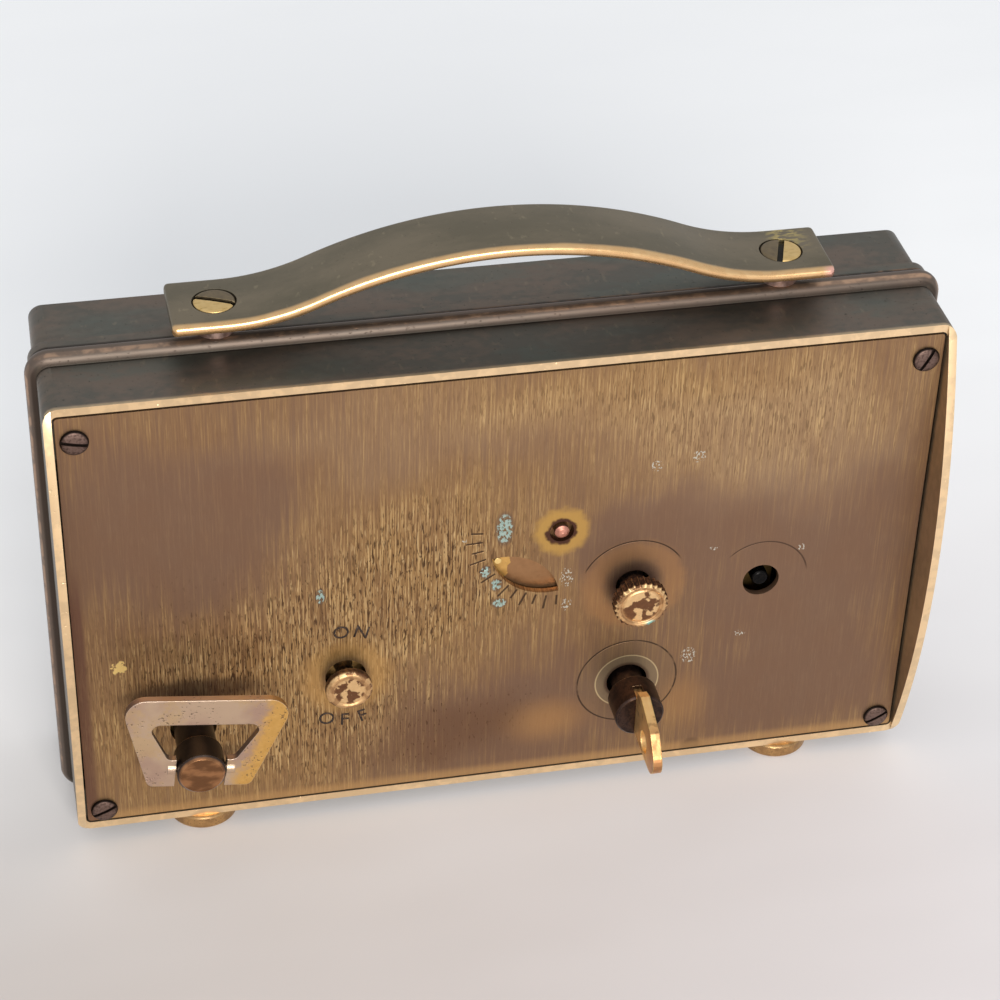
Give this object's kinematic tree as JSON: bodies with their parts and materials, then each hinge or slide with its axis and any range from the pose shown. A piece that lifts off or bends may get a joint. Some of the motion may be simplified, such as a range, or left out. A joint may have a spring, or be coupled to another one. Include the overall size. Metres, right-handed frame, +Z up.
{
  "type": "musical alarm clock",
  "caption": "Small brass musical alarm clock in a portable-radio-shaped case: strap handle, rear winding keys and knobs, folding music key, dial and grille in front, full movements inside.",
  "frame": {"origin": "on the plane of the feet, under the middle of the object's bounding box", "axes": "+Z up, +X towards the music side seen from the front, -Y towards the dial, +Y towards the keys"},
  "size_m": [0.1536, 0.0557, 0.108],
  "materials": {
    "worn_brass": "worn, browned and tarnished brass",
    "plate_brass": "vertically brushed, spotted brass",
    "bright_brass": "rubbed bright brass",
    "movement_brass": "plain machined brass",
    "dark_bronze": "dark purple-brown oxidised metal",
    "nickel": "worn nickel over brass",
    "bright_steel": "plain steel",
    "dial_enamel": "cream dial paint with plain printed numerals",
    "hand_black": "black painted metal",
    "clear_glass": "clear domed glass"
  },
  "bodies": {
    "case": {"rear_shell": "worn_brass", "front_shell": "worn_brass", "back_plate": "plate_brass", "back_plate_screws": "dark_bronze", "handle_strap": "bright_brass", "handle_screws": "bright_brass", "handle_spacers": "worn_brass", "case_nuts": "bright_steel", "feet": "worn_brass", "dial_bezel": "bright_brass", "dial_glass": "clear_glass", "dial_plate": "dial_enamel", "grille": "movement_brass", "clock_front_plate": "movement_brass", "clock_back_plate": "movement_brass", "clock_pillars": "bright_steel", "movement_screws": "bright_steel", "click_spring": "bright_steel", "hairspring": "bright_steel", "balance_cock": "movement_brass", "music_bedplate": "worn_brass", "cylinder_brackets": "movement_brass", "music_comb": "bright_steel", "governor_frame": "movement_brass"},
    "going_barrel": {"mainspring_barrel": "movement_brass", "mainspring": "bright_steel"},
    "winding_arbor": {"barrel_arbor": "bright_steel", "ratchet_wheel": "bright_steel", "winding_key": "dark_bronze", "winding_key_wing": "bright_brass"},
    "click": {"ratchet_click": "bright_steel"},
    "center": {"center_wheel": "movement_brass"},
    "third": {"third_wheel": "movement_brass"},
    "fourth": {"fourth_wheel": "movement_brass"},
    "escape": {"escape_wheel": "movement_brass"},
    "pallet": {"pallet_lever": "bright_steel"},
    "balance": {"balance_wheel": "movement_brass"},
    "regulator": {"regulator_disc": "movement_brass"},
    "time_arbor": {"center_arbor": "bright_steel", "time_set_knob": "worn_brass", "minute_hand": "hand_black"},
    "minute_work": {"minute_wheel": "movement_brass"},
    "hour_work": {"hour_wheel": "movement_brass", "hour_hand": "hand_black"},
    "alarm_work": {"alarm_wheel": "movement_brass", "alarm_hand": "hand_black"},
    "alarm_setter": {"alarm_set_arbor": "bright_steel"},
    "alarm_release": {"alarm_lever": "bright_steel"},
    "spring_drum": {"music_drum": "movement_brass", "music_spring": "bright_steel"},
    "music_winder": {"music_arbor": "bright_steel", "music_key_stem": "dark_bronze", "music_key_pin": "bright_steel"},
    "key_loop": {"music_key_loop": "nickel"},
    "cylinder": {"music_cylinder": "movement_brass"},
    "worm_wheel": {"governor_wheel": "movement_brass"},
    "fan": {"governor_fan": "movement_brass"},
    "stop_lever": {"music_stop_lever": "bright_steel"},
    "puller": {"pull_knob": "worn_brass"}
  },
  "joints": [
    {"name": "escape_wheel_turn", "type": "hinge", "parent": "case", "child": "escape", "pos_m": [-0.02031, -0.01145, 0.06069], "axis": [0, 1, 0], "continuous": true},
    {"name": "fourth_wheel_turn", "type": "hinge", "parent": "case", "child": "fourth", "pos_m": [-0.02966, -0.00945, 0.05819], "axis": [0, 1, 0], "continuous": true},
    {"name": "third_wheel_turn", "type": "hinge", "parent": "case", "child": "third", "pos_m": [-0.03519, -0.00745, 0.04862], "axis": [0, 1, 0], "continuous": true},
    {"name": "center_wheel_turn", "type": "hinge", "parent": "case", "child": "center", "pos_m": [-0.0225, -0.00545, 0.044], "axis": [0, 1, 0], "continuous": true},
    {"name": "barrel_turn", "type": "hinge", "parent": "case", "child": "going_barrel", "pos_m": [-0.0225, -0.00945, 0.0224], "axis": [0, 1, 0], "continuous": true},
    {"name": "pallet_swing", "type": "hinge", "parent": "case", "child": "pallet", "pos_m": [-0.01345, -0.01145, 0.0585], "axis": [0, 1, 0], "range_deg": [-5, 5]},
    {"name": "balance_swing", "type": "hinge", "parent": "case", "child": "balance", "pos_m": [-0.0094, -0.00245, 0.0572], "axis": [0, 1, 0], "range_deg": [-180, 180], "stiffness_Nm_per_rad": 0.00001},
    {"name": "regulator_turn", "type": "hinge", "parent": "case", "child": "regulator", "pos_m": [-0.0094, 0.00355, 0.0572], "axis": [0, 1, 0], "range_deg": [0, 60]},
    {"name": "clock_winding", "type": "hinge", "parent": "case", "child": "winding_arbor", "pos_m": [-0.0225, 0.00555, 0.0224], "axis": [0, 1, 0], "range_deg": [0, 1800]},
    {"name": "click_lift", "type": "hinge", "parent": "case", "child": "click", "pos_m": [-0.0129, -0.00245, 0.0172], "axis": [0, 1, 0], "range_deg": [-10, 0], "stiffness_Nm_per_rad": 0.001, "springref_deg": 2.86},
    {"name": "time_setting", "type": "hinge", "parent": "case", "child": "time_arbor", "pos_m": [-0.0225, 0.00555, 0.044], "axis": [0, 1, 0], "continuous": true},
    {"name": "minute_wheel_turn", "type": "hinge", "parent": "case", "child": "minute_work", "pos_m": [-0.0225, -0.01645, 0.036], "axis": [0, 1, 0], "continuous": true},
    {"name": "hour_wheel_turn", "type": "hinge", "parent": "case", "child": "hour_work", "pos_m": [-0.0225, -0.01845, 0.044], "axis": [0, 1, 0], "continuous": true},
    {"name": "alarm_wheel_turn", "type": "hinge", "parent": "case", "child": "alarm_work", "pos_m": [-0.0225, -0.01945, 0.044], "axis": [0, 1, 0], "continuous": true},
    {"name": "alarm_setting", "type": "hinge", "parent": "case", "child": "alarm_setter", "pos_m": [-0.0455, 0.00055, 0.0419], "axis": [0, 1, 0], "continuous": true},
    {"name": "alarm_release_swing", "type": "hinge", "parent": "case", "child": "alarm_release", "pos_m": [0.0005, -0.01645, 0.0528], "axis": [0, 1, 0], "range_deg": [0, 6], "stiffness_Nm_per_rad": 0.01, "springref_deg": -5.73},
    {"name": "fan_turn", "type": "hinge", "parent": "case", "child": "fan", "pos_m": [0.01345, -0.01252, 0.01841], "axis": [0, 0, 1], "continuous": true},
    {"name": "worm_wheel_turn", "type": "hinge", "parent": "case", "child": "worm_wheel", "pos_m": [0.01345, -0.00552, 0.01841], "axis": [1, 0, 0], "continuous": true},
    {"name": "cylinder_turn", "type": "hinge", "parent": "case", "child": "cylinder", "pos_m": [0.03, -0.01265, 0.0234], "axis": [1, 0, 0], "continuous": true},
    {"name": "drum_turn", "type": "hinge", "parent": "case", "child": "spring_drum", "pos_m": [0.0541, -0.00445, 0.0234], "axis": [0, 1, 0], "continuous": true},
    {"name": "music_winding", "type": "hinge", "parent": "case", "child": "music_winder", "pos_m": [0.0541, 0.00555, 0.0234], "axis": [0, 1, 0], "range_deg": [0, 1800]},
    {"name": "key_loop_fold", "type": "hinge", "parent": "music_winder", "child": "key_loop", "pos_m": [0.0541, 0.01585, 0.0234], "axis": [-0.9914, 0, -0.1305], "range_deg": [0, 180]},
    {"name": "pull_knob_slide", "type": "slide", "parent": "case", "child": "puller", "axis": [0, 1, 0], "range_m": [0, 0.003]},
    {"name": "stop_lever_swing", "type": "hinge", "parent": "case", "child": "stop_lever", "pos_m": [0.0195, -0.00365, 0.0308], "axis": [0, 0, 1], "range_deg": [0, 21.27]}
  ],
  "couplings": [
    {"joint": "fourth_wheel_turn", "follows": "escape_wheel_turn", "ratio": -0.1},
    {"joint": "third_wheel_turn", "follows": "escape_wheel_turn", "ratio": 0.013333},
    {"joint": "center_wheel_turn", "follows": "escape_wheel_turn", "ratio": -0.0016667},
    {"joint": "barrel_turn", "follows": "escape_wheel_turn", "ratio": 0.00052083},
    {"joint": "minute_wheel_turn", "follows": "time_setting", "ratio": -0.33333},
    {"joint": "hour_wheel_turn", "follows": "time_setting", "ratio": 0.083333},
    {"joint": "alarm_setting", "follows": "alarm_wheel_turn", "ratio": -3},
    {"joint": "worm_wheel_turn", "follows": "fan_turn", "ratio": -0.041667},
    {"joint": "cylinder_turn", "follows": "fan_turn", "ratio": 0.0086806},
    {"joint": "drum_turn", "follows": "fan_turn", "ratio": 0.0035613},
    {"joint": "stop_lever_swing", "follows": "pull_knob_slide", "rad_per_m": 123.46}
  ]
}
